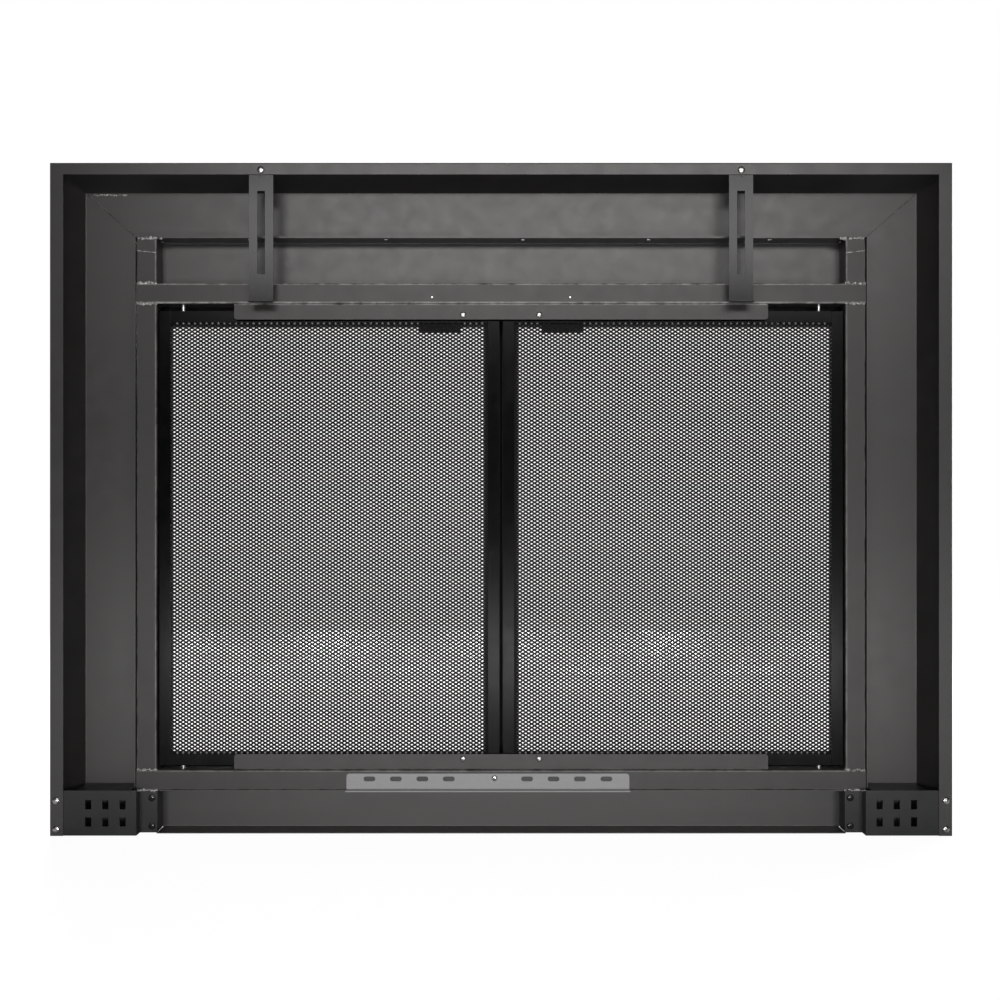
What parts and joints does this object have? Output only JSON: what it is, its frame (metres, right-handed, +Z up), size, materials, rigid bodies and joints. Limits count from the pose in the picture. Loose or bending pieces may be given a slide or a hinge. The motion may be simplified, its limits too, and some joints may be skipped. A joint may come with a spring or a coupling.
{
  "type": "fireplace door screen",
  "caption": "Fireplace screen with a mitred steel surround, framed glass doors, framed mesh screen doors behind them, a sliding draft vent, lintel straps and base brackets.",
  "frame": {"origin": "on the hearth, in the middle of the width and of the overall depth", "axes": "+X to the right seen from the firebox, +Y out into the room, +Z up"},
  "size_m": [1.111, 0.0948, 0.8285],
  "materials": {
    "surround_paint": "satin warm grey powder coat",
    "tube_paint": "satin warm grey powder coat over welds",
    "bracket_paint": "semi-gloss blue-black coat",
    "mesh_door_paint": "semi-gloss black coat",
    "mesh_steel": "black coated expanded steel",
    "glass_door_paint": "satin black coat",
    "door_glass": "clear tempered glass",
    "slide_steel": "satin grey plate",
    "zinc_screw": "bright zinc",
    "black_screw": "black oxide",
    "door_seal": "black heat-proof seal strip",
    "magnet_black": "black moulded housing",
    "handle_metal": "satin dark bronze"
  },
  "bodies": {
    "frame": {"outer_frame_left": "surround_paint", "outer_frame_right": "surround_paint", "outer_frame_top": "surround_paint", "header_panel": "surround_paint", "riser_panel": "surround_paint", "post_tube_left": "tube_paint", "post_tube_right": "tube_paint", "upper_stub_left": "tube_paint", "upper_stub_right": "tube_paint", "lower_stub_left": "tube_paint", "lower_stub_right": "tube_paint", "lintel_tube": "tube_paint", "sill_tube": "tube_paint", "stop_angle_top": "surround_paint", "stop_angle_bottom": "surround_paint", "mesh_door_magnets": "magnet_black", "magnet_screws": "zinc_screw", "glass_door_catches": "magnet_black", "catch_screws": "zinc_screw", "lintel_strap_left": "bracket_paint", "lintel_strap_right": "bracket_paint", "strap_nuts": "zinc_screw", "base_bracket_left": "bracket_paint", "base_bracket_right": "bracket_paint", "lip_screws": "zinc_screw", "bracket_stub_screws": "black_screw", "glass_hinge_brackets": "bracket_paint", "hinge_bracket_screws": "zinc_screw"},
    "draft_slide": {"draft_slide_plate": "slide_steel", "draft_knob": "handle_metal", "draft_knob_screw": "zinc_screw"},
    "mesh_door_left": {"mesh_hinge_stile_left": "mesh_door_paint", "mesh_meeting_stile_left": "mesh_door_paint", "mesh_top_rail_left": "mesh_door_paint", "mesh_bottom_rail_left": "mesh_door_paint", "mesh_panel_left": "mesh_steel", "mesh_pivot_pins_left": "zinc_screw"},
    "glass_door_left": {"glass_hinge_stile_left": "glass_door_paint", "glass_meeting_stile_left": "glass_door_paint", "glass_top_rail_left": "glass_door_paint", "glass_bottom_rail_left": "glass_door_paint", "glass_pane_left": "door_glass", "door_handle_left": "handle_metal", "handle_screws_left": "zinc_screw", "strike_plate_left": "glass_door_paint", "meeting_seal": "door_seal"},
    "mesh_door_right": {"mesh_hinge_stile_right": "mesh_door_paint", "mesh_meeting_stile_right": "mesh_door_paint", "mesh_top_rail_right": "mesh_door_paint", "mesh_bottom_rail_right": "mesh_door_paint", "mesh_panel_right": "mesh_steel", "mesh_pivot_pins_right": "zinc_screw"},
    "glass_door_right": {"glass_hinge_stile_right": "glass_door_paint", "glass_meeting_stile_right": "glass_door_paint", "glass_top_rail_right": "glass_door_paint", "glass_bottom_rail_right": "glass_door_paint", "glass_pane_right": "door_glass", "door_handle_right": "handle_metal", "handle_screws_right": "zinc_screw", "strike_plate_right": "glass_door_paint"}
  },
  "joints": [
    {"name": "glass_door_left_hinge", "type": "hinge", "parent": "frame", "child": "glass_door_left", "pos_m": [-0.435, 0.0134, 0.0774], "axis": [0, 0, 1], "range_deg": [0, 100]},
    {"name": "mesh_door_left_hinge", "type": "hinge", "parent": "frame", "child": "mesh_door_left", "pos_m": [-0.3984, -0.0126, 0.0774], "axis": [0, 0, 1], "range_deg": [0, 100]},
    {"name": "glass_door_right_hinge", "type": "hinge", "parent": "frame", "child": "glass_door_right", "pos_m": [0.435, 0.0134, 0.0774], "axis": [0, 0, -1], "range_deg": [0, 100]},
    {"name": "mesh_door_right_hinge", "type": "hinge", "parent": "frame", "child": "mesh_door_right", "pos_m": [0.3984, -0.0126, 0.0774], "axis": [0, 0, -1], "range_deg": [0, 100]},
    {"name": "draft_slide_travel", "type": "slide", "parent": "frame", "child": "draft_slide", "axis": [1, 0, 0], "range_m": [0, 0.0164]}
  ],
  "couplings": [
    {"joint": "mesh_door_left_hinge", "follows": "glass_door_left_hinge", "ratio": 1},
    {"joint": "mesh_door_right_hinge", "follows": "glass_door_right_hinge", "ratio": 1}
  ]
}
